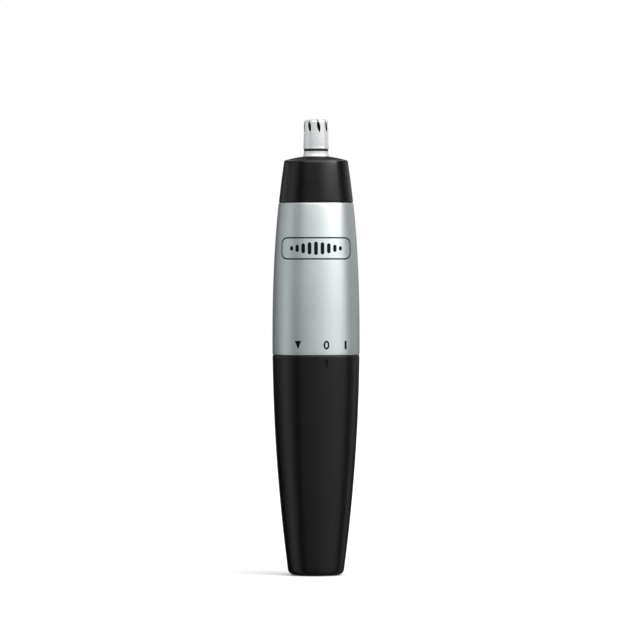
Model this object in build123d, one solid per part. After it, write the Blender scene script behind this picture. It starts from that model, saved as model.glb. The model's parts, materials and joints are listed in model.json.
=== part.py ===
from build123d import *
import os
from math import cos, radians, sin, sqrt

# Battery nose hair trimmer, standing on its foot. Millimetres, +Z up the trimmer's axis,
# origin at the centre of the foot, -Y is the front, where the switch marks are.
# Three outer sections: a black base that holds the cell and is also the twist switch, a silver
# grip round the inner frame and motor, and a black push-on head with the steel cutter.

# ---- heights along the axis --------------------------------------------------------------------
TIP_Z = 130.0
HEAD_Z = 106.2          # joint between head and grip
BASE_Z = 62.7           # joint between grip and base
JOINT_HALF_GAP = 0.1    # each shell stops this far short of its joint

# ---- outer shape -------------------------------------------------------------------------------
BASE_TOP_R = 12.45
BASE_TAPER = 0.012      # radius lost per mm below the joint
BASE_CURVE = 0.000977   # radius lost per mm squared below the joint
BASE_WALL = 1.75
BASE_FLOOR_Z = 2.4
FOOT_ROUND = 1.6
FOOT_RECESS_R = 4.2
FOOT_RECESS_DEPTH = 0.4
GRIP_RADII = (12.45, 12.54, 12.21, 10.68)   # control radii of its outline, evenly spaced upwards
HEAD_BOTTOM_R = 10.62
HEAD_TOP_R = 9.09
HEAD_BULGE = 0.05
DOME_R = 30.5
DOME_TOP_Z = 119.6
DOME_ROUND = 0.55
EDGE_ROUND = 0.14

# ---- twist switch ------------------------------------------------------------------------------
TWIST_ON = 28.5         # degrees from O to I, anticlockwise seen from the head
TWIST_OPEN = -38.2      # degrees from O to the arrow, where the base comes off
MARK_ANGLE = -76.1      # polar angle of the index mark, under the O
MARK_TOP_Z = 61.5
MARK_WIDTH = 1.2
MARK_LENGTH = 2.2
MARK_DEPTH = 0.22
LUG_ANGLE = 0.0         # first of the base's two bayonet lugs
LUG_HALF = 9.0
KEY_ANGLE = 90.0        # first of the two keys that turn the switch ring
KEY_HALF = 5.0
WIPER_ANGLE = 150.0
FIXED_CONTACT_ANGLE = WIPER_ANGLE + TWIST_ON
HALF_TURN = 180.0
LEDGE_Z = 48.8
LEDGE_TOP_Z = 50.9
LEDGE_R = 10.3
STOP_TOP_Z = 52.6
RING_Z = 54.0
RING_TOP_Z = 58.8
RING_IN_R = 9.1
RING_OUT_R = 10.35

# ---- inner frame -------------------------------------------------------------------------------
FRAME_BOTTOM_Z = 44.0
CELL_BORE_R = 7.6
TUBE_R = 9.0            # lower tube, inside the base
BASE_SPIGOT_R = 10.4
BASE_SPIGOT_Z = 59.0
BASE_BORE_R = 10.5
BASE_BORE_Z = 46.2
GRIP_BORE_R = 10.9
FLANGE_TOP_Z = 65.5
BARREL_R = 9.1
HEAD_SPIGOT_R = 8.2
HEAD_SPIGOT_TOP_Z = 111.0
HEAD_BORE_R = 8.3
SPIGOT_INNER_R = 6.2
BULKHEAD_Z = 95.05
BULKHEAD_TOP_Z = 96.6
SEAL_HOUSING_TOP_Z = 99.9

TOP_FLANGE_R = 9.2      # meets the grip's top edge from inside
TOP_FLANGE_Z = 104.6
HEAD_SEAL_Z = 109.0
HEAD_GROOVE = 0.9
BASE_SEAL_Z = 60.8
BASE_GROOVE = 1.02
GROOVE_WIDTH = 1.2
SEAL_R = 2.5
STRIP = 0.3             # thickness of the pressed contacts
STRIP_R = 7.65          # inside of the negative strip, in the cell bore's wall
STRIP_Z = 55.0
STRIP_PAD_TOP_Z = 57.8

# ---- cell --------------------------------------------------------------------------------------
CELL_Z = 11.5
CELL_LENGTH = 50.5
CELL_R = 7.25
CELL_NUB_R = 2.75
CELL_NUB = 1.0
SLEEVE = 0.1
CAN_WALL = 0.25

# ---- motor -------------------------------------------------------------------------------------
MOTOR_Z = 70.0
MOTOR_TOP_Z = 95.0
MOTOR_R = 7.5
MOTOR_FLAT = 6.0        # half the distance across the flats
MOTOR_WALL = 0.6
MOTOR_BOSS_R = 3.0
MOTOR_BOSS_Z = 96.2
END_CAP_Z = 68.0
SHAFT_R = 0.75
SHAFT_TOP_Z = 103.0
BEARING_R = 1.5
RUNNING = 0.03          # radial clearance of a shaft in its bearing
SCREW_X = 4.7
TERMINAL_X = 5.0
TERMINAL_Z = 66.4
POLES = 3

# ---- cutter ------------------------------------------------------------------------------------
CUTTER_BORE_R = 2.95
NECK_R = 3.25
TUBE_BOTTOM_R = 3.61
TUBE_TOP_R = 3.42
TUBE_BOTTOM_Z = 121.57
HEM = 0.06
SHOULDER = 0.9
CUTTER_FLANGE_Z = 116.55
COLLAR_R = 3.6
COLLAR_TOP_Z = 120.88
SLOTS = 8
SLOT_WIDTH = 0.92       # at its widest
SLOT_TOP_WIDTH = 0.46   # over the shoulder and in the top
SLOT_Z = 126.2          # lowest, widest and shoulder heights of the leaf-shaped slots
SLOT_WIDE_Z = 127.75
SLOT_SHOULDER_Z = 129.2
SLOT_LEAN = 9.0
SLOT_IN_R = 1.7
SLOT_ANGLE = -76.5      # polar angle of the slot just right of the front
BLADES = 4
BLADE_R = 2.9
BLADE_TILT = 10.0
WINDOW_ANGLE = -95.0    # polar angle of one of the gaps between blades
WINDOW_WIDTH = 2.9
HUB_R = 5.7
HUB_BORE_R = 4.5
HUB_Z = 107.5
SPINDLE_R = 2.4
WASHER_Z = 114.4
KEY_BLADE = (3.2, 1.2)  # the coupling's flat key, and the slot it drives is 0.2 larger


def turned(outline, arc=360.0, start=0.0):
    """Solid of revolution about Z of a closed outline given as (radius, height) points or edges."""
    if isinstance(outline, list):
        outline = Polyline(*outline, close=True)
    face = outline if isinstance(outline, Sketch) else make_face(outline)
    solid = revolve(Plane.XZ * face, axis=Axis.Z, revolution_arc=arc)
    return Rot(0, 0, start) * solid


def tube(r_in, r_out, z0, z1):
    if r_in <= 0:
        return Pos(0, 0, z0) * Cylinder(r_out, z1 - z0, align=(Align.CENTER, Align.CENTER, Align.MIN))
    return turned([(r_in, z0), (r_out, z0), (r_out, z1), (r_in, z1)])


def sector(r_in, r_out, z0, z1, middle, half):
    """Part of a tube, from middle - half to middle + half degrees."""
    return turned([(r_in, z0), (r_out, z0), (r_out, z1), (r_in, z1)], 2 * half, middle - half)


def block(x0, x1, y0, y1, z0, z1):
    return Pos((x0 + x1) / 2, (y0 + y1) / 2, (z0 + z1) / 2) * Box(x1 - x0, y1 - y0, z1 - z0)


def flatted(radius, flat, z0, z1):
    """Round bar with two flats facing +Y and -Y, like a small motor's can."""
    return tube(0, radius, z0, z1) & block(-radius, radius, -flat, flat, z0, z1)


def rounded(face, corner, radius):
    """The face with the corner nearest to a (radius, height) point rounded."""
    return fillet(face.vertices().sort_by_distance((*corner, 0))[0], radius)


def base_radius(z):
    below = BASE_Z - z
    return BASE_TOP_R - BASE_TAPER * below - BASE_CURVE * below**2


def base_curve(z0, z1, inset):
    """The base's outline between two heights, moved inwards. It is a parabola, so one Bezier holds it."""
    slope = BASE_TAPER + 2 * BASE_CURVE * (BASE_Z - z0)
    middle = (base_radius(z0) + slope * (z1 - z0) / 2 - inset, (z0 + z1) / 2)
    return Bezier((base_radius(z0) - inset, z0), middle, (base_radius(z1) - inset, z1))


def coil(radius, top_radius, wire_r, z0, z1, turns):
    """Compression spring whose wire centre climbs from z0 to z1, as a cone or a cylinder."""
    height = z1 - z0
    lean = degrees_of((radius - top_radius) / height)
    path = Pos(0, 0, z0) * Helix(height / turns, height, radius, cone_angle=-lean)
    return sweep(Plane(path @ 0, z_dir=path % 0) * Circle(wire_r), path=path, is_frenet=True)


def degrees_of(slope):
    return Vector(1, 0, 0).get_angle(Vector(1, slope, 0))


# ---- base: the black battery cover that is also the switch knob ----------------------------------
def make_base_shell():
    top_z = BASE_Z - JOINT_HALF_GAP
    outer_face = make_face(
        base_curve(0, top_z, 0)
        + Polyline((base_radius(top_z), top_z), (0, top_z), (0, 0), (base_radius(0), 0))
    )
    outer_face = rounded(outer_face, (base_radius(0), 0), FOOT_ROUND)
    outer_face = rounded(outer_face, (base_radius(top_z), top_z), EDGE_ROUND)
    outer = turned(outer_face)
    step_z = BASE_BORE_Z - 0.7
    cavity = turned(
        base_curve(BASE_FLOOR_Z, step_z, BASE_WALL)
        + Polyline(
            (base_radius(step_z) - BASE_WALL, step_z),
            (BASE_BORE_R, BASE_BORE_Z),
            (BASE_BORE_R, BASE_Z),
            (0, BASE_Z),
            (0, BASE_FLOOR_Z),
            (base_radius(BASE_FLOOR_Z) - BASE_WALL, BASE_FLOOR_Z),
        )
    )
    ribs = [
        Rot(0, 0, 60 * i) * block(CELL_BORE_R, BASE_TOP_R, -0.6, 0.6, CELL_Z - 3.5, FRAME_BOTTOM_Z - 0.5)
        for i in range(6)
    ]
    shell = outer - (cavity - ribs)
    shell -= tube(0, FOOT_RECESS_R, 0, FOOT_RECESS_DEPTH)
    shell -= sector(10.0, 10.95, step_z - 0.1, 58.0, WIPER_ANGLE, 7)
    for turn in (0, HALF_TURN):
        shell += sector(9.15, 10.6, 51.0, STOP_TOP_Z, LUG_ANGLE + turn, LUG_HALF)
        shell += sector(9.7, 10.6, 54.3, 58.4, KEY_ANGLE + turn, KEY_HALF)
    return shell - make_index_mark()


def make_index_mark():
    """Recess of the index mark: a small wedge, wide at its top edge."""
    out = Vector(cos(radians(MARK_ANGLE)), sin(radians(MARK_ANGLE)), 0)
    floor_r = base_radius(MARK_TOP_Z) - MARK_DEPTH
    skin = Plane(origin=out * floor_r + Vector(0, 0, MARK_TOP_Z), x_dir=(-out.Y, out.X, 0), z_dir=out)
    wide, narrow = MARK_WIDTH / 2, MARK_WIDTH / 10
    wedge = Polyline((-wide, 0), (wide, 0), (narrow, -MARK_LENGTH), (-narrow, -MARK_LENGTH), close=True)
    return extrude(skin * make_face(wedge), 1)


def make_base_contact():
    """Negative strip: a disc under the spring and a leg up the wall to the switch ring."""
    leg_in_z, leg_out_z, thick = 45.8, 45.5, 0.2
    inset = BASE_WALL + 0.03
    floor_z = BASE_FLOOR_Z + 0.05
    outline = (
        base_curve(floor_z, leg_out_z, inset)
        + Polyline(
            (base_radius(leg_out_z) - inset, leg_out_z),
            (10.85, leg_out_z),
            (10.85, 57.6),
            (10.55, 57.6),
            (10.42, 56.6),
            (10.42, 55.6),
            (10.55, 54.6),
            (10.55, leg_in_z),
            (base_radius(leg_in_z) - inset - thick, leg_in_z),
        )
        + base_curve(floor_z + thick, leg_in_z, inset + thick)
        + Polyline(
            (base_radius(floor_z + thick) - inset - thick, floor_z + thick),
            (4.0, floor_z + thick),
            (4.0, floor_z),
            (base_radius(floor_z) - inset, floor_z),
        )
    )
    return turned(outline, 12, WIPER_ANGLE - 6) + tube(0, 5.5, floor_z, floor_z + thick)


def make_battery_spring():
    wire_r = 0.3
    floor_z = BASE_FLOOR_Z + 0.35
    return coil(4.9, 3.6, wire_r, floor_z + wire_r + 0.02, CELL_Z - wire_r - 0.05, 4.5)


# ---- switch ring: turned by the base's keys, stays on the frame -----------------------------------
def make_switch_ring():
    ring = tube(RING_IN_R, RING_OUT_R, RING_Z, RING_TOP_Z)
    for turn in (0, HALF_TURN):
        ring -= sector(9.6, 10.6, RING_Z - 0.1, 58.55, KEY_ANGLE + turn, KEY_HALF + 0.5)
    ring -= sector(9.0, 9.4, 54.25, 57.45, WIPER_ANGLE, 5.3)
    ring -= sector(9.3, 10.5, 54.25, 54.65, WIPER_ANGLE, 5.3)
    return ring - sector(10.05, 10.5, 54.25, 57.45, WIPER_ANGLE, 5.3)


def make_switch_wiper():
    """Phosphor bronze clip through the ring, touching the frame inside and the base's strip outside."""
    clip = sector(9.06, 9.36, 54.3, 57.4, WIPER_ANGLE, 5)
    clip += sector(9.06, 10.38, 54.3, 54.6, WIPER_ANGLE, 5)
    return clip + sector(10.1, 10.38, 54.3, 57.4, WIPER_ANGLE, 5)


# ---- cell ----------------------------------------------------------------------------------------
CELL_TOP_Z = CELL_Z + CELL_LENGTH
CAN_TOP_Z = CELL_TOP_Z - CELL_NUB
CAN_R = CELL_R - SLEEVE
CAN_BOTTOM_Z = CELL_Z + 0.5
CORE_R = CAN_R - CAN_WALL


def make_battery_can():
    inner_nub_r = CELL_NUB_R - CAN_WALL
    return turned([
        (CORE_R, CAN_BOTTOM_Z), (CAN_R, CAN_BOTTOM_Z), (CAN_R, CAN_TOP_Z), (CELL_NUB_R, CAN_TOP_Z),
        (CELL_NUB_R, CELL_TOP_Z), (0, CELL_TOP_Z), (0, CELL_TOP_Z - CAN_WALL),
        (inner_nub_r, CELL_TOP_Z - CAN_WALL), (inner_nub_r, CAN_TOP_Z - CAN_WALL),
        (CORE_R, CAN_TOP_Z - CAN_WALL),
    ])


def make_battery_seal():
    plate_r, seal_r = 6.05, CORE_R - 0.02
    low_z, top_z = CELL_Z + 0.2, CAN_BOTTOM_Z + 0.6
    return turned([
        (0, CAN_BOTTOM_Z), (plate_r, CAN_BOTTOM_Z), (plate_r, low_z),
        (seal_r, low_z), (seal_r, top_z), (0, top_z),
    ])


# ---- grip and inner frame ------------------------------------------------------------------------
def make_grip_shell():
    bottom_z, top_z = BASE_Z + JOINT_HALF_GAP, HEAD_Z - JOINT_HALF_GAP
    step = (top_z - bottom_z) / (len(GRIP_RADII) - 1)
    points = [(r, bottom_z + step * i) for i, r in enumerate(GRIP_RADII)]
    face = make_face(
        Bezier(*points)
        + Polyline(
            points[-1], (TOP_FLANGE_R + 0.05, top_z), (TOP_FLANGE_R + 0.05, TOP_FLANGE_Z - 0.2), (10.3, 92.0),
            (GRIP_BORE_R, 80.0), (GRIP_BORE_R, bottom_z), points[0],
        )
    )
    face = rounded(face, points[0], EDGE_ROUND)
    return turned(rounded(face, points[-1], EDGE_ROUND))


def make_inner_frame():
    top_flange_top_z = HEAD_Z - 0.15
    frame = turned([
        (0, FRAME_BOTTOM_Z), (TUBE_R, FRAME_BOTTOM_Z), (TUBE_R, BASE_SPIGOT_Z),
        (BASE_SPIGOT_R, BASE_SPIGOT_Z), (BASE_SPIGOT_R, BASE_Z), (GRIP_BORE_R - 0.05, BASE_Z),
        (GRIP_BORE_R - 0.05, FLANGE_TOP_Z), (BARREL_R, FLANGE_TOP_Z), (BARREL_R, 96.0), (8.9, 97.0),
        (8.9, TOP_FLANGE_Z),
        (TOP_FLANGE_R, TOP_FLANGE_Z), (TOP_FLANGE_R, top_flange_top_z), (HEAD_SPIGOT_R, top_flange_top_z),
        (HEAD_SPIGOT_R, HEAD_SPIGOT_TOP_Z), (SPIGOT_INNER_R, HEAD_SPIGOT_TOP_Z),
        (SPIGOT_INNER_R, BULKHEAD_TOP_Z), (3.3, BULKHEAD_TOP_Z), (3.3, SEAL_HOUSING_TOP_Z),
        (SEAL_R + 0.05, SEAL_HOUSING_TOP_Z), (SEAL_R + 0.05, BULKHEAD_TOP_Z), (0, BULKHEAD_TOP_Z),
    ])
    motor_pocket_z = END_CAP_Z - 0.1
    frame -= tube(0, CELL_BORE_R, FRAME_BOTTOM_Z, motor_pocket_z)
    frame -= flatted(MOTOR_R + 0.05, MOTOR_FLAT + 0.05, motor_pocket_z, BULKHEAD_Z)
    frame -= tube(0, MOTOR_BOSS_R + 0.05, BULKHEAD_Z, BULKHEAD_TOP_Z)
    for spigot_r, depth, z in (
        (HEAD_SPIGOT_R, HEAD_GROOVE, HEAD_SEAL_Z),
        (BASE_SPIGOT_R, BASE_GROOVE, BASE_SEAL_Z),
    ):
        frame -= tube(spigot_r - depth, spigot_r + 1, z - GROOVE_WIDTH / 2, z + GROOVE_WIDTH / 2)
    for side in (-1, 1):
        frame -= Pos(side * SCREW_X, 0, 0) * tube(0, 0.9, BULKHEAD_Z - 1, BULKHEAD_TOP_Z)
    frame -= sector(7.5, STRIP_R + 0.35, STRIP_Z - 0.1, motor_pocket_z, FIXED_CONTACT_ANGLE, 8.5)
    frame -= sector(7.9, TUBE_R + 0.1, STRIP_Z - 0.1, STRIP_PAD_TOP_Z + 0.2, FIXED_CONTACT_ANGLE, 8.5)
    for turn in (0, HALF_TURN):
        frame += make_ledge(LUG_ANGLE + turn)
    for i in range(4):
        frame += sector(8.9, 9.35, 53.2, 53.9, 45 + 90 * i, 6)
    return frame


def make_ledge(angle):
    """What one lug meets: a ledge under it at I, and a stop beyond each end of its turn."""
    on_stop = angle + TWIST_ON + LUG_HALF + 0.5
    open_stop = angle + TWIST_OPEN - LUG_HALF - 0.5
    ledge_start = angle + LUG_HALF + 3
    root_r = TUBE_R - 0.1
    middle, half = (ledge_start + on_stop + 3) / 2, (on_stop + 3 - ledge_start) / 2
    ledge = sector(root_r, LEDGE_R, LEDGE_Z, LEDGE_TOP_Z, middle, half)
    ledge += sector(root_r, LEDGE_R, LEDGE_Z, STOP_TOP_Z, on_stop + 1.5, 1.5)
    return ledge + sector(root_r, LEDGE_R, LEDGE_Z, STOP_TOP_Z, open_stop - 1.5, 1.5)


def o_ring(middle_r, cord_r, z):
    return turned(Sketch() + Pos(middle_r, z) * Circle(cord_r))


def make_shaft_seal():
    lip_r = SHAFT_R + RUNNING
    return turned([
        (lip_r, 98.0), (lip_r, 98.4), (1.4, 99.0), (1.4, 99.5), (SEAL_R, 99.5), (SEAL_R, 97.0), (2.0, 97.0),
        (2.0, 98.0),
    ])


def make_contact_carrier():
    """Plastic disc between cell and motor that holds the positive contact."""
    low_z, top_z = CELL_TOP_Z + 0.4, TERMINAL_Z - STRIP - 0.1
    disc = tube(0, CELL_BORE_R - 0.05, low_z, top_z) - tube(5.9, 6.9, low_z, top_z - 1)
    disc -= tube(0, 4.4, low_z + 1, top_z)
    return disc - block(4.4, 5.4, -1.7, 1.7, low_z, top_z)


def make_positive_contact():
    low_z = CELL_TOP_Z + 0.05
    leg_x, half = 4.5, 1.5
    contact = tube(0, 3.9, low_z, low_z + STRIP)
    contact += block(3.0, leg_x + STRIP, -half, half, low_z, low_z + STRIP)
    contact += block(leg_x, leg_x + STRIP, -half, half, low_z, TERMINAL_Z)
    return contact + block(leg_x, leg_x + 0.9, -half, half, TERMINAL_Z - STRIP, TERMINAL_Z)


def make_negative_strip():
    """From the motor's other terminal, down the cell bore and out to the pad that the wiper meets at I."""
    pad_r, half = TUBE_R + 0.02, 8
    strip = sector(STRIP_R, STRIP_R + STRIP, STRIP_Z, TERMINAL_Z, FIXED_CONTACT_ANGLE, half)
    strip += sector(STRIP_R, pad_r, STRIP_Z, STRIP_Z + STRIP, FIXED_CONTACT_ANGLE, half)
    strip += sector(pad_r - STRIP, pad_r, STRIP_Z, STRIP_PAD_TOP_Z, FIXED_CONTACT_ANGLE, half)
    reach = block(4.3, STRIP_R + 0.05, -1.0, 1.0, TERMINAL_Z - STRIP, TERMINAL_Z)
    return strip + Rot(0, 0, FIXED_CONTACT_ANGLE) * reach


# ---- motor ---------------------------------------------------------------------------------------
def make_motor_can():
    inner_top_z = MOTOR_TOP_Z - MOTOR_WALL
    can = flatted(MOTOR_R, MOTOR_FLAT, MOTOR_Z, MOTOR_TOP_Z)
    can -= flatted(MOTOR_R - MOTOR_WALL, MOTOR_FLAT - MOTOR_WALL, MOTOR_Z, inner_top_z)
    can += tube(0, MOTOR_BOSS_R, MOTOR_TOP_Z, MOTOR_BOSS_Z)
    can -= tube(0, BEARING_R, inner_top_z, MOTOR_BOSS_Z)
    for side in (-1, 1):
        can -= Pos(side * SCREW_X, 0, 0) * tube(0, 0.75, inner_top_z, MOTOR_TOP_Z)
    return can


def make_motor_end_cap():
    cap = flatted(MOTOR_R, MOTOR_FLAT, END_CAP_Z, MOTOR_Z)
    cap += flatted(MOTOR_R - MOTOR_WALL, MOTOR_FLAT - MOTOR_WALL, MOTOR_Z, 71.4)
    cap -= tube(0, BEARING_R, END_CAP_Z, 70.6) + tube(0, 2.4, 70.6, 71.4)
    for side in (-1, 1):
        cap -= make_terminal(side)
    return cap


def make_terminal(side):
    x = side * TERMINAL_X
    return block(x - 0.2, x + 0.2, -1.1, 1.1, TERMINAL_Z, 69.4)


def make_magnets():
    return Compound(children=[
        sector(5.3, 6.85, 74.0, 92.0, angle, 48).solid() for angle in (0, HALF_TURN)
    ])


def make_brush(turn):
    arm = block(-4.6, 1.0, 1.75, 2.0, 72.5, 73.9) + block(-4.6, -4.3, 1.0, 2.0, 71.4, 73.9)
    return Rot(0, 0, turn) * arm


def make_armature_core():
    core = tube(SHAFT_R, 1.9, 76.0, 90.0)
    for i in range(POLES):
        turn = 360 / POLES * i
        core += Rot(0, 0, turn) * block(1.5, 4.4, -0.8, 0.8, 76.0, 90.0)
        core += sector(4.2, 5.0, 76.0, 90.0, turn, 48)
    return core


def make_windings():
    """One coil round the neck of each pole."""
    coils = []
    for i in range(POLES):
        winding = block(2.3, 3.7, -1.9, 1.9, 75.0, 91.0)
        winding -= block(2.0, 4.4, -0.82, 0.82, 75.98, 90.02)
        winding = fillet(winding.edges().filter_by(Axis.X).group_by(Axis.Z)[0], 0.9)
        coils.append((Rot(0, 0, 360 / POLES * i) * winding).solid())
    return Compound(children=coils)


def make_commutator():
    drum = tube(SHAFT_R, 1.7, 71.8, 75.0)
    for i in range(POLES):
        drum -= Rot(0, 0, 60 + 360 / POLES * i) * block(1.4, 1.8, -0.12, 0.12, 71.8, 75.0)
    return drum


def make_screws():
    screws = []
    for side in (-1, 1):
        screw = tube(0, 0.7, 93.2, BULKHEAD_TOP_Z) + tube(0, 1.3, BULKHEAD_TOP_Z, 97.5)
        for turn in (45, 135):
            screw -= Rot(0, 0, turn) * block(-0.7, 0.7, -0.15, 0.15, 97.15, 97.6)
        screws.append((Pos(side * SCREW_X, 0, 0) * screw).solid())
    return Compound(children=screws)


def make_drive_coupling():
    width, thick = KEY_BLADE
    hub = tube(0, 2.2, 100.3, 103.6) - tube(0, SHAFT_R, 100.3, SHAFT_TOP_Z)
    return hub + block(-width / 2, width / 2, -thick / 2, thick / 2, 103.6, 109.4)


# ---- head ----------------------------------------------------------------------------------------
def dome_z(radius):
    return DOME_TOP_Z - DOME_R + sqrt(DOME_R**2 - radius**2)


def make_head_cone():
    bottom_z = HEAD_Z + JOINT_HALF_GAP
    hole_r, shoulder_z, roof_z = COLLAR_R + 0.02, CUTTER_FLANGE_Z + 0.05, 117.0
    bottom, corner = (HEAD_BOTTOM_R, bottom_z), (HEAD_TOP_R, dome_z(HEAD_TOP_R))
    middle = ((HEAD_BOTTOM_R + HEAD_TOP_R) / 2 + HEAD_BULGE, (bottom_z + corner[1]) / 2)
    dome_middle_r = (HEAD_TOP_R + hole_r) / 2
    face = make_face(
        ThreePointArc(bottom, middle, corner)
        + ThreePointArc(corner, (dome_middle_r, dome_z(dome_middle_r)), (hole_r, dome_z(hole_r)))
        + Polyline(
            (hole_r, dome_z(hole_r)), (hole_r, shoulder_z), (HUB_BORE_R, shoulder_z), (HUB_BORE_R, HUB_Z),
            (HUB_R, HUB_Z), (HUB_R, roof_z), (7.4, roof_z), (HEAD_BORE_R, 112.2), (HEAD_BORE_R, bottom_z),
            bottom,
        )
    )
    face = rounded(face, corner, DOME_ROUND)
    return turned(rounded(face, bottom, EDGE_ROUND))


def make_outer_cutter():
    shoulder_z = TIP_Z - SHOULDER
    roof_z = TIP_Z - 0.4
    inner_round = 0.5
    flange_r, flange_low_z = HUB_BORE_R - 0.05, CUTTER_FLANGE_Z - 0.65
    wall = make_face(
        Line((0, roof_z), (CUTTER_BORE_R - inner_round, roof_z))
        + RadiusArc((CUTTER_BORE_R - inner_round, roof_z), (CUTTER_BORE_R, roof_z - inner_round), inner_round)
        + Polyline(
            (CUTTER_BORE_R, roof_z - inner_round), (CUTTER_BORE_R, flange_low_z), (flange_r, flange_low_z),
            (flange_r, CUTTER_FLANGE_Z), (NECK_R, CUTTER_FLANGE_Z), (NECK_R, TUBE_BOTTOM_Z),
            (TUBE_BOTTOM_R, TUBE_BOTTOM_Z), (TUBE_BOTTOM_R + HEM, TUBE_BOTTOM_Z + 0.25),
            (TUBE_BOTTOM_R, TUBE_BOTTOM_Z + 0.5), (TUBE_TOP_R, shoulder_z),
        )
        + RadiusArc((TUBE_TOP_R, shoulder_z), (TUBE_TOP_R - SHOULDER, TIP_Z), -SHOULDER)
        + Polyline((TUBE_TOP_R - SHOULDER, TIP_Z), (0, TIP_Z), (0, roof_z))
    )
    cutter = turned(wall)
    slot = make_slot_tool(roof_z)
    for i in range(SLOTS):
        cutter -= Rot(0, 0, SLOT_ANGLE + 360 / SLOTS * i) * slot
    return cutter


def make_slot_tool(roof_z):
    """What one slot takes away, along +X: a leaf that leans, with a narrow neck over the shoulder."""
    half, neck, high_z = SLOT_WIDTH / 2, SLOT_TOP_WIDTH / 2, TIP_Z + 1
    leaf = make_face(
        ThreePointArc((0, SLOT_Z), (half, SLOT_WIDE_Z), (neck, SLOT_SHOULDER_Z))
        + Polyline((neck, SLOT_SHOULDER_Z), (neck, high_z), (-neck, high_z), (-neck, SLOT_SHOULDER_Z))
        + ThreePointArc((-neck, SLOT_SHOULDER_Z), (-half, SLOT_WIDE_Z), (0, SLOT_Z))
    )
    slot = extrude(Plane.YZ.offset(SLOT_IN_R) * leaf, 4.5 - SLOT_IN_R)
    slot += Pos(SLOT_IN_R, 0, 0) * tube(0, neck, roof_z - 1, high_z)
    middle = Pos(0, 0, SLOT_WIDE_Z)
    return middle * Rot(SLOT_LEAN, 0, 0) * middle.inverse() * slot


def make_collar():
    bore_r, low_z = NECK_R + 0.02, CUTTER_FLANGE_Z + 0.45
    return turned([
        (bore_r, low_z), (COLLAR_R, low_z), (COLLAR_R, 119.42), (3.74, 119.42), (3.52, 120.2),
        (3.52, COLLAR_TOP_Z), (bore_r, COLLAR_TOP_Z),
    ])


def make_inner_cutter():
    """Steel cup with open, leaning windows: four blades that pass the slots, joined at the top."""
    top_z = TIP_Z - 0.45
    cup = turned([
        (2.5, 121.8), (BLADE_R, 121.8), (BLADE_R, top_z - 0.55), (BLADE_R - 0.55, top_z), (0, top_z),
        (0, top_z - 0.45), (2.5, top_z - 0.45),
    ])
    for i in range(BLADES):
        window = Pos(2.6, 0, 127.2) * Rot(BLADE_TILT, 0, 0) * Box(2.6, WINDOW_WIDTH, 6.4)
        cup -= Rot(0, 0, WINDOW_ANGLE + 360 / BLADES * i) * window
    return cup


def make_spindle():
    width, thick = KEY_BLADE
    spindle = turned([
        (0, 104.7), (SPINDLE_R, 104.7), (SPINDLE_R, 114.83), (3.6, 114.83), (3.6, 115.5), (1.7, 115.5),
        (1.7, 121.6), (2.5, 121.8), (2.5, 123.6), (1.0, 124.4), (0, 124.4),
    ])
    return spindle - block(-width / 2 - 0.1, width / 2 + 0.1, -thick / 2 - 0.1, thick / 2 + 0.1, 104.6, 111.0)


def make_head_retainer():
    hole_r = SPINDLE_R + 0.05
    return turned([
        (hole_r, 107.0), (HUB_R - 0.1, 107.0), (HUB_R - 0.1, HUB_Z), (HUB_BORE_R, HUB_Z), (HUB_BORE_R, 109.4),
        (hole_r, 109.4),
    ])


# ---- every node, by the name of its file ---------------------------------------------------------
def both(maker):
    return Compound(children=[maker(side).solid() for side in (-1, 1)])


NODES = {
    "base_shell": make_base_shell(),
    "base_contact": make_base_contact(),
    "battery_spring": make_battery_spring(),
    "switch_ring": make_switch_ring(),
    "switch_wiper": make_switch_wiper(),
    "battery_can": make_battery_can(),
    "battery_core": tube(0, CORE_R, CAN_BOTTOM_Z + 0.6, CAN_TOP_Z - CAN_WALL),
    "battery_seal": make_battery_seal(),
    "battery_end_plate": tube(0, 6.0, CELL_Z, CAN_BOTTOM_Z),
    "battery_sleeve": tube(CAN_R, CELL_R, CAN_BOTTOM_Z, CAN_TOP_Z - 0.3),
    "grip_shell": make_grip_shell(),
    "inner_frame": make_inner_frame(),
    "head_seal": o_ring(7.79, 0.47, HEAD_SEAL_Z),
    "base_seal": o_ring(9.93, 0.51, BASE_SEAL_Z),
    "shaft_seal": make_shaft_seal(),
    "contact_carrier": make_contact_carrier(),
    "positive_contact": make_positive_contact(),
    "negative_strip": make_negative_strip(),
    "motor_can": make_motor_can(),
    "motor_end_cap": make_motor_end_cap(),
    "motor_magnets": make_magnets(),
    "motor_front_bearing": tube(SHAFT_R + RUNNING, BEARING_R, MOTOR_TOP_Z - MOTOR_WALL, MOTOR_BOSS_Z),
    "motor_rear_bearing": tube(SHAFT_R + RUNNING, BEARING_R, 68.2, 70.6),
    "motor_terminals": both(make_terminal),
    "motor_brushes": both(lambda side: make_brush(90 - 90 * side)),
    "motor_screws": make_screws(),
    "motor_shaft": tube(0, SHAFT_R, 68.1, SHAFT_TOP_Z),
    "armature_core": make_armature_core(),
    "armature_windings": make_windings(),
    "commutator": make_commutator(),
    "drive_coupling": make_drive_coupling(),
    "head_cone": make_head_cone(),
    "outer_cutter": make_outer_cutter(),
    "cutter_ring": tube(NECK_R + 0.02, 3.47, COLLAR_TOP_Z + 0.02, TUBE_BOTTOM_Z - 0.02),
    "cutter_collar": make_collar(),
    "head_retainer": make_head_retainer(),
    "cutter_spring": coil(3.4, 3.4, 0.2, 109.65, 114.15, 5),
    "thrust_washer": tube(SPINDLE_R + 0.05, 4.3, WASHER_Z, 114.8),
    "inner_cutter": make_inner_cutter(),
    "cutter_spindle": make_spindle(),
}

os.makedirs("parts", exist_ok=True)
for name, shape in NODES.items():
    export_step(shape, f"parts/{name}.step")
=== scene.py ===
import bmesh
import bpy
import json
from math import cos, pi, radians, sin, sqrt, tan
from mathutils import Matrix, Vector


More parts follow.
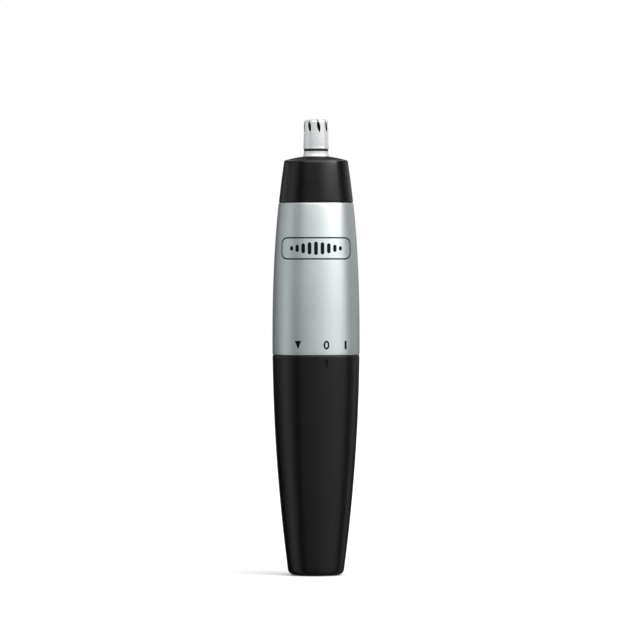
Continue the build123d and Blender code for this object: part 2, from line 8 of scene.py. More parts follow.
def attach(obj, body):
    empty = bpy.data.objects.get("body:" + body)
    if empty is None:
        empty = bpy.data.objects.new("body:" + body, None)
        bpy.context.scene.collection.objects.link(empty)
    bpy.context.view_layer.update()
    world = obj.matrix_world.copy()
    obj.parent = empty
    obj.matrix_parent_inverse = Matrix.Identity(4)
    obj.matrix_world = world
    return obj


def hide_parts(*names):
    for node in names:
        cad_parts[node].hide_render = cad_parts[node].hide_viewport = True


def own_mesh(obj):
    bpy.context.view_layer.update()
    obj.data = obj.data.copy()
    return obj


# Battery nose hair trimmer standing on its foot. Lengths below are in millimetres unless a name says
# otherwise, and are turned into metres where a mesh is made. +Z is up the trimmer, -Y is the front.

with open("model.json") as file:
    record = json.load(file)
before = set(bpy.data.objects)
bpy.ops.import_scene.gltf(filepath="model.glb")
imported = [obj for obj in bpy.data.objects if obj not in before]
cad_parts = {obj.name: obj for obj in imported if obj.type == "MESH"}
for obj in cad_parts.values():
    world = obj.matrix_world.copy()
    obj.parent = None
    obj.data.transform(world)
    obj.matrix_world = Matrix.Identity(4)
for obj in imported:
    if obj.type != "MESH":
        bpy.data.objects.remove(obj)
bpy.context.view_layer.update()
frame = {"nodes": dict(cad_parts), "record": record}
MM = 0.001

# ---- driving dimensions --------------------------------------------------------------------------
TIP_Z = 130.0
HEAD_Z = 106.2          # joint between head and grip
BASE_Z = 62.7           # joint between grip and base
JOINT_HALF_GAP = 0.1
JOINT_LIP = 0.16        # how far the base and the head reach into the gap at their joint
LIP_INSET = 0.2
EDGE_ROUND = 0.14
BASE_TOP_Z = BASE_Z - JOINT_HALF_GAP
GRIP_LOW_Z = BASE_Z + JOINT_HALF_GAP
GRIP_TOP_Z = HEAD_Z - JOINT_HALF_GAP
HEAD_LOW_Z = HEAD_Z + JOINT_HALF_GAP

BASE_TOP_R = 12.45
BASE_TAPER = 0.012      # radius lost per mm below the joint
BASE_CURVE = 0.000977   # radius lost per mm squared below the joint
BASE_WALL = 1.75
BASE_FLOOR_Z = 2.4
BASE_BORE_R = 10.5
BASE_BORE_Z = 46.2      # where the bore that turns on the frame begins
CAVITY_TOP_Z = 45.5
FOOT_ROUND = 1.6
FOOT_RECESS_R = 4.2
FOOT_RECESS_DEPTH = 0.4
# Parts of rings inside the base: inner and outer radius, bottom and top. Then angle and half width.
LUG = (9.15, 10.6, 51.0, 52.6)                      # two bayonet lugs
LUG_ANGLE, LUG_HALF = 0, 9
KEY = (9.7, 10.6, 54.3, 58.4)                       # two keys that turn the switch ring
KEY_ANGLE, KEY_HALF = 90, 5
GROOVE = (10.0, 10.95, CAVITY_TOP_Z - 0.1, 58.0)    # holds base_contact
GROOVE_ANGLE, GROOVE_HALF = 150, 7
RIBS = 6                # guides of the cell bay
RIB_LOW_Z = 8.0
RIB_TOP_Z = 43.5
RIB_IN_R = 7.6
RIB_THICK = 1.2
RIB_BITE = 0.9          # its outer edge is this far under the base's outside, within the wall
MARK_ANGLE = -76.1      # polar angle of the index mark, under the O
MARK_TOP_Z = 61.5
MARK_LENGTH = 2.2
MARK_WIDTH = 1.2
MARK_END_WIDTH = 0.24
MARK_DEPTH = 0.22

GRIP_RADII = (12.45, 12.54, 12.21, 10.68)   # control radii of its outline, evenly spaced upwards
GRIP_BORE_R = 10.9

HEAD_BOTTOM_R = 10.62
HEAD_TOP_R = 9.09
HEAD_BULGE = 0.05
HEAD_BORE_R = 8.3
HEAD_LIP_IN_R = 9.4
HUB_R = 5.7
HUB_BORE_R = 4.5
HUB_Z = 107.5
DOME_R = 30.5
DOME_TOP_Z = 119.6
DOME_ROUND = 0.55
COLLAR_HOLE_R = 3.62

TUBE_TOP_R = 3.42
TUBE_BOTTOM_R = 3.61
TUBE_BOTTOM_Z = 121.57
TUBE_BORE_R = 2.95
TUBE_ROOF = 0.4
NECK_R = 3.25
SHOULDER = 0.9
TUBE_SIDE_Z = TUBE_BOTTOM_Z + 0.5       # the taper runs from over the hem to the shoulder
TUBE_SIDE_TOP_Z = TIP_Z - SHOULDER
CUTTER_FLANGE_R = 4.45
CUTTER_FLANGE_LOW_Z = 115.9
CUTTER_FLANGE_Z = 116.55
SLOTS = 8
SLOT_WIDTH = 0.92       # at its widest
SLOT_TOP_WIDTH = 0.46   # over the shoulder and in the top
SLOT_Z = 126.2          # lowest, widest and shoulder heights of the leaf-shaped slots
SLOT_WIDE_Z = 127.75
SLOT_SHOULDER_Z = 129.2
SLOT_LEAN = 9.0
SLOT_IN_R = 1.7
SLOT_ANGLE = -76.5      # polar angle of the slot just right of the front

SPRING_R = 3.4
SPRING_WIRE_R = 0.2
SPRING_LOW_Z = 109.65
SPRING_TOP_Z = 114.15
SPRING_TURNS = 5

# ---- how finely things are made ------------------------------------------------------------------
ROUND = 192             # segments round the outer shells
ARC_STEPS = 6           # segments in a rounded corner
SECTOR_STEPS = 12       # segments in a part of a ring
CLEAR_OF_ROUND = 0.6    # how far an outline's points stay from its rounded ends
SHARP_ANGLE = 32        # edges that turn by more degrees than this stay sharp


# ---- outlines ------------------------------------------------------------------------------------
def grip_radius(z):
    """The grip's outline: a cubic Bezier whose control heights are evenly spaced."""
    t = (z - GRIP_LOW_Z) / (GRIP_TOP_Z - GRIP_LOW_Z)
    a, b, c, d = GRIP_RADII
    s = 1 - t
    return a * s**3 + 3 * b * s * s * t + 3 * c * s * t * t + d * t**3


def base_radius(z):
    below = BASE_Z - z
    return BASE_TOP_R - BASE_TAPER * below - BASE_CURVE * below**2


def dome_z(radius):
    return DOME_TOP_Z - DOME_R + sqrt(DOME_R**2 - radius**2)


HEAD_TOP_Z = dome_z(HEAD_TOP_R)


def head_cone_radius(z):
    t = (z - HEAD_LOW_Z) / (HEAD_TOP_Z - HEAD_LOW_Z)
    return HEAD_BOTTOM_R + (HEAD_TOP_R - HEAD_BOTTOM_R) * t + 4 * HEAD_BULGE * t * (1 - t)


def steps(start, end, count):
    return [start + (end - start) * i / count for i in range(count + 1)]


def arc_points(centre, first, last, count):
    """Points round a centre, from one of its spokes to another."""
    sweep = first.angle_signed(last)
    return [tuple(centre + Matrix.Rotation(-sweep * k / count, 2) @ first) for k in range(count + 1)]


def eased(points):
    """A closed outline of (radius, height[, rounding]) corners, each rounded corner as an arc."""
    most = 0.98             # how much of an edge one corner's rounding may take
    out = []
    for i, (r, z, *rounding) in enumerate(points):
        if not rounding:
            out.append((r, z))
            continue
        here = Vector((r, z))
        back = Vector(points[i - 1][:2]) - here
        ahead = Vector(points[(i + 1) % len(points)][:2]) - here
        half = back.angle(ahead) / 2
        reach = min(rounding[0] / tan(half), back.length * most, ahead.length * most)
        radius = reach * tan(half)
        centre = here + (back.normalized() + ahead.normalized()).normalized() * radius / sin(half)
        first = here + back.normalized() * reach - centre
        last = here + ahead.normalized() * reach - centre
        out += arc_points(centre, first, last, ARC_STEPS)
    return out


def arc_through(a, b, c, count=8):
    """Points along the circle from a through b to c."""
    a, b, c = Vector(a), Vector(b), Vector(c)
    ab, ac = b - a, c - a
    twice = 2 * (ab.x * ac.y - ab.y * ac.x)
    centre = a + Vector((
        ac.y * ab.length_squared - ab.y * ac.length_squared,
        ab.x * ac.length_squared - ac.x * ab.length_squared,
    )) / twice
    return arc_points(centre, a - centre, c - centre, count)


# ---- meshes --------------------------------------------------------------------------------------
def make_object(name, mesh_edit):
    """Links an object whose mesh mesh_edit makes in millimetres."""
    mesh = bpy.data.meshes.new(name)
    edit = bmesh.new()
    mesh_edit(edit)
    bmesh.ops.scale(edit, vec=(MM, MM, MM), verts=edit.verts)
    bmesh.ops.recalc_face_normals(edit, faces=edit.faces)
    edit.to_mesh(mesh)
    edit.free()
    made = bpy.data.objects.new(name, mesh)
    bpy.context.scene.collection.objects.link(made)
    return made


def new_piece(name, mesh_edit, body, slot, sharp=SHARP_ANGLE):
    """Makes a piece, shades it, gives it its slot's material and lets it ride on a body."""
    piece = make_object(name, mesh_edit)
    shade(piece, sharp)
    piece.data.materials.append(MATERIALS[slot])
    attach(piece, body)
    return piece


def shade(piece, sharp=SHARP_ANGLE):
    piece.data.shade_smooth()
    piece.data.set_sharp_from_angle(angle=radians(sharp))


def lathe(edit, outline, segments=ROUND, start=0.0, arc=360.0):
    """Revolves a closed outline; a point on the axis becomes one vertex. A partial arc gets end caps."""
    closed = arc >= 360
    turns = segments if closed else segments + 1
    angles = [radians(start + arc * i / segments) for i in range(turns)]
    rings = []
    for r, z in outline:
        if r == 0:
            rings.append([edit.verts.new((0, 0, z))] * turns)
        else:
            rings.append([edit.verts.new((r * cos(a), r * sin(a), z)) for a in angles])
    for low, high in zip(rings, rings[1:] + rings[:1]):
        for i in range(segments):
            j = (i + 1) % turns
            corners = []
            for v in (low[i], low[j], high[j], high[i]):
                if v not in corners:
                    corners.append(v)
            if len(corners) > 2:
                edit.faces.new(corners)
    if not closed:
        for i in (0, turns - 1):
            edit.faces.new([ring[i] for ring in rings])


def prism(edit, near, far):
    """A closed solid between two outlines that have the same number of points."""
    sides = []
    for outline in (near, far):
        sides.append([edit.verts.new(point) for point in outline])
        edit.faces.new(sides[-1])
    for i in range(len(near)):
        j = (i + 1) % len(near)
        edit.faces.new((sides[0][i], sides[0][j], sides[1][j], sides[1][i]))


def turn_about_z(edit, angle):
    bmesh.ops.rotate(edit, matrix=Matrix.Rotation(radians(angle), 3, "Z"), verts=edit.verts)


def cut(piece, tools, operation="DIFFERENCE"):
    """Takes helper meshes away from a piece, or adds them, then removes them."""
    for tool in tools:
        step = piece.modifiers.new("cut", "BOOLEAN")
        step.object = tool
        step.operation = operation
        step.solver = "EXACT"
        bpy.context.view_layer.update()
        done = piece.evaluated_get(bpy.context.evaluated_depsgraph_get())
        fresh = bpy.data.meshes.new_from_object(done)
        piece.modifiers.clear()
        piece.data = fresh
    for tool in tools:
        bpy.data.objects.remove(tool)
    shade(piece)


def paint_faces(piece, material, chosen):
    """Gives a second material to the faces whose middle, in millimetres, passes a test."""
    piece.data.materials.append(material)
    for face in piece.data.polygons:
        if chosen(face.center / MM):
            face.material_index = len(piece.data.materials) - 1


def helper(mesh_edit):
    """A mesh that only cuts or joins, and is then removed."""
    return make_object("helper", mesh_edit)


def sector(r_in, r_out, z0, z1, middle, half):
    """Helper: part of a ring, half degrees to either side of its middle."""
    outline = [(r_in, z0), (r_out, z0), (r_out, z1), (r_in, z1)]
    return helper(lambda edit: lathe(edit, outline, SECTOR_STEPS, middle - half, 2 * half))


# ---- materials -----------------------------------------------------------------------------------
class NodeTree:
    """The nodes of a material or a world, with short calls that add to them."""

    def __init__(self, owner):
        owner.use_nodes = True
        self.nodes = owner.node_tree.nodes
        self.links = owner.node_tree.links

    def give(self, socket, value):
        """Links an input to another node's output, or sets it to a plain value."""
        if isinstance(value, bpy.types.NodeSocket):
            self.links.new(value, socket)
        else:
            socket.default_value = value

    def node(self, kind, **inputs):
        made = self.nodes.new(kind)
        for key, value in inputs.items():
            self.give(made.inputs[key], value)
        return made

    def calculate(self, operation, a, b):
        made = self.nodes.new("ShaderNodeMath")
        made.operation = operation
        for socket, value in zip(made.inputs, (a, b)):
            self.give(socket, value)
        return made.outputs[0]


class Paint(NodeTree):
    """A Principled material with short calls that add its grain, colour change and relief."""

    def __init__(self, name, metallic=0.0, coat=0.0, coat_roughness=0.1, ior=1.45, specular=0.5):
        self.material = bpy.data.materials.new(name)
        super().__init__(self.material)
        self.shader = self.nodes["Principled BSDF"]
        self.set("Metallic", metallic)
        self.set("Coat Weight", coat)
        self.set("Coat Roughness", coat_roughness)
        self.set("IOR", ior)
        self.set("Specular IOR Level", specular)
        self.place = self.node("ShaderNodeTexCoord").outputs["Object"]
        self.relief = None

    def set(self, socket, value):
        self.shader.inputs[socket].default_value = value

    def grain(self, size, stretch=(1, 1, 1), detail=2.0):
        """Noise whose features are about size millimetres, longer along an axis with a small stretch."""
        place = self.node("ShaderNodeMapping", Vector=self.place, Scale=stretch).outputs["Vector"]
        noise = self.node("ShaderNodeTexNoise", Vector=place, Scale=1 / (size * MM), Detail=detail)
        return noise.outputs["Fac"]

    def levels(self, value, low, high):
        """A noise, which mostly lies between 0.3 and 0.7, spread between two numbers."""
        spread = self.node("ShaderNodeMapRange", Value=value)
        spread.inputs["From Min"].default_value = 0.3
        spread.inputs["From Max"].default_value = 0.7
        spread.inputs["To Min"].default_value = low
        spread.inputs["To Max"].default_value = high
        return spread.outputs["Result"]

    def colour(self, value, dark, light):
        mix = self.mix_colours(self.levels(value, 0, 1), light)
        mix.inputs["A"].default_value = (*dark, 1)
        return mix.outputs["Result"]

    def over(self, base, mask, colour):
        """A colour laid over another where a mask is 1."""
        mix = self.mix_colours(mask, colour)
        self.links.new(base, mix.inputs["A"])
        return mix.outputs["Result"]

    def mix_colours(self, factor, second):
        """A mix that becomes the base colour. Its first colour is still to be given."""
        mix = self.node("ShaderNodeMix")
        mix.data_type = "RGBA"
        self.links.new(factor, mix.inputs["Factor"])
        mix.inputs["B"].default_value = (*second, 1)
        self.links.new(mix.outputs["Result"], self.shader.inputs["Base Color"])
        return mix

    def rough(self, value, low, high):
        self.links.new(self.levels(value, low, high), self.shader.inputs["Roughness"])

    def bump(self, value, height, strength=1.0):
        """Relief of about height millimetres. Calls stack."""
        step = self.node("ShaderNodeBump", Height=value, Strength=strength, Distance=height * MM)
        if self.relief:
            self.links.new(self.relief, step.inputs["Normal"])
        self.relief = step.outputs["Normal"]
        self.links.new(self.relief, self.shader.inputs["Normal"])

    def between(self, z0, z1):
        """1 where the height is between two heights in millimetres, else 0."""
        z = self.node("ShaderNodeSeparateXYZ", Vector=self.place).outputs["Z"]
        above = self.calculate("GREATER_THAN", z, z0 * MM)
        below = self.calculate("LESS_THAN", z, z1 * MM)
        return self.calculate("MULTIPLY", above, below)


MOULD_BLACK = ((0.0018, 0.0018, 0.0019), (0.003, 0.003, 0.0031))


def silver_lacquer():
    """Metallic lacquer on plastic: fine flake on a faintly uneven skin."""
    paint = Paint("silver_lacquer", metallic=0.94)
    flake = paint.grain(0.16, detail=3)
    paint.colour(flake, (0.76, 0.83, 0.84), (0.83, 0.9, 0.91))
    paint.rough(paint.grain(9), 0.33, 0.37)
    paint.bump(flake, 0.012, 0.35)
    paint.bump(paint.grain(2.4), 0.02, 0.3)
    return paint.material


def black_gloss():
    """Polished moulded black: faint flow waves and handling haze."""
    paint = Paint("black_gloss", ior=1.5)
    paint.colour(paint.grain(3), *MOULD_BLACK)
    paint.rough(paint.grain(5), 0.12, 0.18)
    paint.bump(paint.grain(0.12), 0.002, 0.4)
    paint.bump(paint.grain(2.2), 0.004, 0.25)
    return paint.material


def black_dome():
    """The head's top, left duller by its tool than the cone below it."""
    paint = Paint("black_dome", ior=1.5, specular=0.02)
    spark = paint.grain(0.14, detail=3)
    paint.colour(spark, *MOULD_BLACK)
    paint.rough(paint.grain(3), 0.4, 0.48)
    paint.bump(spark, 0.004, 0.4)
    return paint.material


def black_satin():
    """Fine spark-eroded texture, as on a base that is gripped and turned."""
    paint = Paint("black_satin", ior=1.5)
    spark = paint.grain(0.14, detail=3)
    paint.colour(spark, *MOULD_BLACK)
    paint.rough(paint.grain(6), 0.15, 0.21)
    paint.bump(spark, 0.002, 0.4)
    return paint.material


def machined(name, dark, light, low, high, rings=0.05, relief=0.002, metallic=1.0, sheen=0.0):
    """Turned or polished metal: fine rings round the axis under a soft mottling."""
    paint = Paint(name, metallic=metallic)
    paint.set("Sheen Weight", sheen)
    paint.set("Sheen Roughness", 0.25)
    turned = paint.grain(rings, (0.02, 0.02, 1))
    paint.colour(paint.grain(1.6, detail=4), dark, light)
    paint.rough(turned, low, high)
    paint.bump(turned, relief, 0.5)
    return paint.material


def strip_metal(name, dark, light, low, high):
    """Rolled strip: grain drawn out along the height."""
    paint = Paint(name, metallic=1.0)
    rolled = paint.grain(0.06, (1, 1, 0.04))
    paint.colour(paint.grain(1.2, detail=4), dark, light)
    paint.rough(rolled, low, high)
    paint.bump(rolled, 0.002, 0.4)
    return paint.material


def moulded(name, dark, light, low=0.42, high=0.55, relief=0.01, grain=0.25):
    """Moulded plastic or rubber with a fine tool texture."""
    paint = Paint(name)
    texture = paint.grain(grain, detail=3)
    paint.colour(paint.grain(2.5, detail=3), dark, light)
    paint.rough(paint.grain(1.5), low, high)
    paint.bump(texture, relief, 0.5)
    return paint.material


def cast(name, dark, light, grain=0.3):
    """Sintered or pressed powder: grainy and dull."""
    paint = Paint(name, metallic=0.75)
    texture = paint.grain(grain, detail=5)
    paint.colour(texture, dark, light)
    paint.rough(texture, 0.5, 0.7)
    paint.bump(texture, 0.03, 0.6)
    return paint.material


def laminations():
    """Stacked sheets, one above the other."""
    paint = Paint("laminations", metallic=0.8)
    layers = paint.grain(0.35, (0.01, 0.01, 1), detail=0)
    paint.colour(layers, (0.16, 0.16, 0.17), (0.32, 0.32, 0.33))
    paint.rough(layers, 0.4, 0.6)
    paint.bump(layers, 0.05, 0.8)
    return paint.material


def copper_wire():
    """Lacquered winding wire, lying round the axis."""
    paint = Paint("copper_wire", metallic=1.0, coat=0.4)
    turns = paint.grain(0.22, (0.05, 0.05, 1), detail=0)
    paint.colour(turns, (0.42, 0.15, 0.06), (0.78, 0.36, 0.17))
    paint.rough(paint.grain(0.8), 0.25, 0.4)
    paint.bump(turns, 0.08, 0.8)
    return paint.material


def cell_film():
    """Printed film: dark green with a gold band near the nub and a thin pale line under it."""
    gold_band, pale_line = (49, 60.5), (46.6, 47.4)     # heights
    paint = Paint("cell_film", metallic=0.35, coat=0.6, coat_roughness=0.08)
    base = paint.colour(paint.grain(4), (0.012, 0.05, 0.045), (0.016, 0.065, 0.058))
    base = paint.over(base, paint.between(*gold_band), (0.62, 0.42, 0.16))
    paint.over(base, paint.between(*pale_line), (0.7, 0.7, 0.68))
    paint.rough(paint.grain(1.2), 0.22, 0.3)
    paint.bump(paint.grain(3), 0.02, 0.3)
    return paint.material


def ink():
    paint = Paint("ink", specular=0.15)
    paint.colour(paint.grain(0.5, detail=4), (0.0012, 0.0015, 0.0016), (0.0032, 0.0036, 0.0038))
    paint.rough(paint.grain(0.4), 0.42, 0.55)
    paint.bump(paint.grain(0.1), 0.003, 0.5)
    return paint.material


# Most makers take a name, the two colours of the grain, and the least and the greatest roughness.
MATERIALS = {
    "grip_silver": silver_lacquer(),
    "case_black": black_satin(),
    "cutter_chrome": machined(
        "chrome", (0.575, 0.6, 0.61), (0.625, 0.65, 0.655), 0.12, 0.18,
        rings=0.08, relief=0.0006, metallic=0.4, sheen=1.0,
    ),
    # Ground steel partly painted as shade: darkened because the inner blade is only seen in the dark of
    # the slots.
    "blade_steel": machined("ground_steel_painted_shade", (0.11, 0.11, 0.11), (0.16, 0.16, 0.157), 0.26, 0.4),
    "collar_steel": machined(
        "turned_steel", (0.57, 0.585, 0.59), (0.63, 0.64, 0.64), 0.2, 0.3,
        rings=0.07, relief=0.0008, metallic=0.25, sheen=0.5,
    ),
    "seal_rubber": moulded(
        "seal_rubber", (0.008, 0.008, 0.008), (0.016, 0.016, 0.016), 0.5, 0.65,
        relief=0.012, grain=0.12,
    ),
    "frame_plastic": moulded("frame_plastic", (0.022, 0.023, 0.025), (0.032, 0.033, 0.035)),
    "switch_plastic": moulded("switch_plastic", (0.16, 0.165, 0.17), (0.2, 0.205, 0.21)),
    "drive_plastic": moulded(
        "acetal", (0.68, 0.67, 0.62), (0.76, 0.75, 0.7), 0.3, 0.42,
        relief=0.006,
    ),
    "spring_steel": machined(
        "spring_wire", (0.5, 0.5, 0.5), (0.66, 0.66, 0.65), 0.18, 0.3,
        rings=0.2,
    ),
    "contact_nickel": strip_metal("nickel_strip", (0.58, 0.55, 0.49), (0.72, 0.69, 0.63), 0.2, 0.36),
    "contact_bronze": strip_metal("bronze_strip", (0.56, 0.36, 0.16), (0.72, 0.49, 0.25), 0.22, 0.36),
    "bearing_bronze": cast("sintered_bronze", (0.3, 0.19, 0.1), (0.46, 0.31, 0.17), grain=0.12),
    "motor_steel": strip_metal("zinc_plate", (0.5, 0.51, 0.52), (0.64, 0.65, 0.65), 0.24, 0.4),
    "motor_plastic": moulded("motor_plastic", (0.7, 0.69, 0.64), (0.78, 0.77, 0.72)),
    "magnet": cast("ferrite", (0.045, 0.045, 0.05), (0.085, 0.085, 0.09), grain=0.2),
    "shaft_steel": machined("ground_shaft", (0.6, 0.6, 0.6), (0.74, 0.74, 0.73), 0.1, 0.2),
    "core_steel": laminations(),
    "copper": copper_wire(),
    "cell_can": strip_metal("cell_nickel", (0.6, 0.6, 0.59), (0.74, 0.74, 0.73), 0.18, 0.32),
    "cell_core": cast("cell_powder", (0.02, 0.02, 0.02), (0.05, 0.05, 0.05)),
    "cell_sleeve": cell_film(),
}
HEAD_BLACK = black_gloss()
DOME_BLACK = black_dome()
# Painted shade: the tube's bore and slot walls are steel painted near black, so the slots read dark.
BORE_PAINTED_SHADE = machined(
    "bore_painted_shade", (0.012, 0.012, 0.012), (0.022, 0.022, 0.022), 0.45, 0.6,
    metallic=0.6,
)
INK = ink()


# ---- outer pieces --------------------------------------------------------------------------------
def grip_skin():
    """The silver barrel, whose bore widens below the frame's top flange."""
    top_bore_r, flange_z = 9.25, 104.4
    rows = [(grip_radius(z), z) for z in steps(GRIP_LOW_Z, GRIP_TOP_Z, 56)]
    rows[0] = (*rows[0], EDGE_ROUND)
    rows[-1] = (*rows[-1], EDGE_ROUND)
    inside = [(top_bore_r, GRIP_TOP_Z), (top_bore_r, flange_z)]
    inside += [(10.3, 92.0), (GRIP_BORE_R, 80.0), (GRIP_BORE_R, GRIP_LOW_Z)]
    outline = spaced(rows) + inside
    piece = new_piece("grip_skin", lambda edit: lathe(edit, outline), "handle", "grip_silver")
    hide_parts("grip_shell")


def rows_between(rows, low_z, high_z):
    return [row for row in rows if low_z < row[1] < high_z]


def spaced(rows):
    """Rounds the two end corners of an open outline, leaving out rows that the rounding covers."""
    first, last = rows[0], rows[-1]
    middle = rows_between(rows, first[1] + CLEAR_OF_ROUND, last[1] - CLEAR_OF_ROUND)
    inwards = [(r - 1, z) for r, z, _ in (first, last)]     # which way each end's edge runs
    return eased([inwards[0], first] + middle + [last, inwards[1]])[1:-1]


def base_skin():
    """Outer shell, cell bay and the lugs, keys and ribs that meet the frame."""
    rows = [(base_radius(z), z) for z in steps(0, BASE_TOP_Z, 64)]
    rows[0] = (*rows[0], FOOT_ROUND)
    rows[-1] = (*rows[-1], EDGE_ROUND)
    middle = rows_between(rows, FOOT_ROUND + CLEAR_OF_ROUND, BASE_TOP_Z - CLEAR_OF_ROUND)
    recess = [(0, FOOT_RECESS_DEPTH), (FOOT_RECESS_R, FOOT_RECESS_DEPTH), (FOOT_RECESS_R, 0)]
    outer = recess + [rows[0]] + middle + [rows[-1]]
    lip_r, lip_z, lip_in_r = rows[-1][0] - LIP_INSET, BASE_TOP_Z + JOINT_LIP, GROOVE[1]
    cavity = [(lip_r, BASE_TOP_Z), (lip_r, lip_z), (lip_in_r, lip_z), (lip_in_r, BASE_TOP_Z)]
    cavity += [(BASE_BORE_R, BASE_TOP_Z), (BASE_BORE_R, BASE_BORE_Z)]
    cavity += [(base_radius(z) - BASE_WALL, z) for z in steps(CAVITY_TOP_Z, BASE_FLOOR_Z, 24)]
    cavity += [(0, BASE_FLOOR_Z)]
    piece = new_piece("base_skin", lambda edit: lathe(edit, eased(outer + cavity)), "base", "case_black")
    cut(piece, [sector(*GROOVE, GROOVE_ANGLE, GROOVE_HALF), index_mark()])
    inner_parts = []
    for half_turn in (0, 180):
        inner_parts.append(sector(*LUG, LUG_ANGLE + half_turn, LUG_HALF))
        inner_parts.append(sector(*KEY, KEY_ANGLE + half_turn, KEY_HALF))
    inner_parts += [rib(360 / RIBS * i) for i in range(RIBS)]
    cut(piece, inner_parts, "UNION")
    paint_faces(piece, INK, is_in_mark)
    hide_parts("base_shell")


def rib(turn):
    """Helper: guide rib of the cell bay, whose outer edge follows the wall."""
    rows = [(base_radius(z) - RIB_BITE, z) for z in steps(RIB_LOW_Z, RIB_TOP_Z, 12)]
    outline = [(RIB_IN_R, RIB_TOP_Z), (RIB_IN_R, RIB_LOW_Z)] + rows

    def make(edit):
        sides = [[(r, y, z) for r, z in outline] for y in (-RIB_THICK / 2, RIB_THICK / 2)]
        prism(edit, *sides)
        turn_about_z(edit, turn)

    return helper(make)


def index_mark():
    """Helper: the wedge that the mark's recess takes away."""
    floor_r, wide, narrow = base_radius(MARK_TOP_Z) - MARK_DEPTH, MARK_WIDTH / 2, MARK_END_WIDTH / 2
    outside_r = floor_r + 1
    low_z = MARK_TOP_Z - MARK_LENGTH
    wedge = [(-wide, MARK_TOP_Z), (wide, MARK_TOP_Z), (narrow, low_z), (-narrow, low_z)]

    def make(edit):
        sides = [[(r, y, z) for y, z in wedge] for r in (floor_r, outside_r)]
        prism(edit, *sides)
        turn_about_z(edit, MARK_ANGLE)

    return helper(make)


def is_in_mark(place):
    """Whether a place is on the recess's floor or side walls."""
    low_z, high_z = MARK_TOP_Z - MARK_LENGTH, MARK_TOP_Z - 0.05
    under_floor_r, under_skin_r = 12.1, 12.38
    return low_z < place.z < high_z and under_floor_r < place.xy.length < under_skin_r


def head_skin():
    """The black cone with its domed top, hub and bore."""
    low_r, lip_z = head_cone_radius(HEAD_LOW_Z), HEAD_LOW_Z - JOINT_LIP
    outline = [(HEAD_BORE_R, HEAD_LOW_Z), (HEAD_LIP_IN_R, HEAD_LOW_Z), (HEAD_LIP_IN_R, lip_z)]
    outline += [(low_r - LIP_INSET, lip_z), (low_r - LIP_INSET, HEAD_LOW_Z)]
    outline += [(low_r, HEAD_LOW_Z, EDGE_ROUND)]
    side_low_z, side_top_z, dome_edge_r = HEAD_LOW_Z + 0.4, HEAD_TOP_Z - 0.7, HEAD_TOP_R - 0.9
    side = [(head_cone_radius(z), z) for z in steps(HEAD_LOW_Z, HEAD_TOP_Z, 20)]
    outline += rows_between(side, side_low_z, side_top_z)
    outline += [(HEAD_TOP_R, HEAD_TOP_Z, DOME_ROUND)]
    outline += [(r, dome_z(r)) for r in steps(dome_edge_r, COLLAR_HOLE_R, 18)]
    seat_z, roof_z, roof_r, bore_top_z = CUTTER_FLANGE_Z + 0.05, 117.0, 7.4, 112.2
    outline += [(COLLAR_HOLE_R, seat_z), (HUB_BORE_R, seat_z), (HUB_BORE_R, HUB_Z), (HUB_R, HUB_Z)]
    outline += [(HUB_R, roof_z), (roof_r, roof_z), (HEAD_BORE_R, bore_top_z)]
    piece = new_piece("head_skin", lambda edit: lathe(edit, eased(outline)), "head", "case_black")
    piece.data.materials[0] = HEAD_BLACK
    paint_faces(piece, DOME_BLACK, is_on_dome)
    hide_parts("head_cone")


def is_on_dome(place):
    """Whether a place is on the head's top, within its rounded edge."""
    edge = 0.3
    return place.z > HEAD_TOP_Z and place.xy.length < HEAD_TOP_R - edge


def tube_radius(t):
    """The taper's radius a fraction t of the way up."""
    return TUBE_BOTTOM_R + (TUBE_TOP_R - TUBE_BOTTOM_R) * t


def cutter_tube():
    """Drawn cup with a rolled hem, a rounded shoulder, a flange inside the head and eight slots."""
    roof_z, corner = TIP_Z - TUBE_ROOF, 0.5
    hem = [(0, 0), (0.05, 0.16), (0.06, 0.25), (0.05, 0.34)]    # out and up from the tube's foot
    top_rings = (2.2, 1.9, 1.6, 1.3, 0.8, 0)                    # radii that divide the flat top
    flat_r = TUBE_BORE_R - corner
    outline = [(0, roof_z), (flat_r, roof_z)]
    for a in steps(0, pi / 2, 6)[1:]:
        outline.append((flat_r + corner * sin(a), roof_z - corner + corner * cos(a)))
    outline += [(TUBE_BORE_R, CUTTER_FLANGE_LOW_Z), (CUTTER_FLANGE_R, CUTTER_FLANGE_LOW_Z)]
    outline += [(CUTTER_FLANGE_R, CUTTER_FLANGE_Z), (NECK_R, CUTTER_FLANGE_Z), (NECK_R, TUBE_BOTTOM_Z)]
    outline += [(TUBE_BOTTOM_R + out, TUBE_BOTTOM_Z + up) for out, up in hem]
    for t in steps(0, 1, 28):
        outline.append((tube_radius(t), TUBE_SIDE_Z + (TUBE_SIDE_TOP_Z - TUBE_SIDE_Z) * t))
    for a in steps(0, pi / 2, 12)[1:]:
        outline.append((TUBE_TOP_R - SHOULDER + SHOULDER * cos(a), TUBE_SIDE_TOP_Z + SHOULDER * sin(a)))
    outline += [(r, TIP_Z) for r in top_rings]
    piece = new_piece("cutter_tube", lambda edit: lathe(edit, outline), "head", "cutter_chrome")
    cut(piece, [slot_tool(SLOT_ANGLE + 360 / SLOTS * i) for i in range(SLOTS)])
    # The bore and the slot walls are painted near black: painted shade inside the tube.
    paint_faces(piece, BORE_PAINTED_SHADE, is_under_skin)
    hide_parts("outer_cutter")


def is_under_skin(place):
    """Whether a place on the tube is in its bore or in the wall of a slot, below the shoulder. These
    faces get painted shade.
    """
    under = 0.02
    t = (place.z - TUBE_SIDE_Z) / (TUBE_SIDE_TOP_Z - TUBE_SIDE_Z)
    return 0 < t < 1 and place.xy.length < tube_radius(t) - under


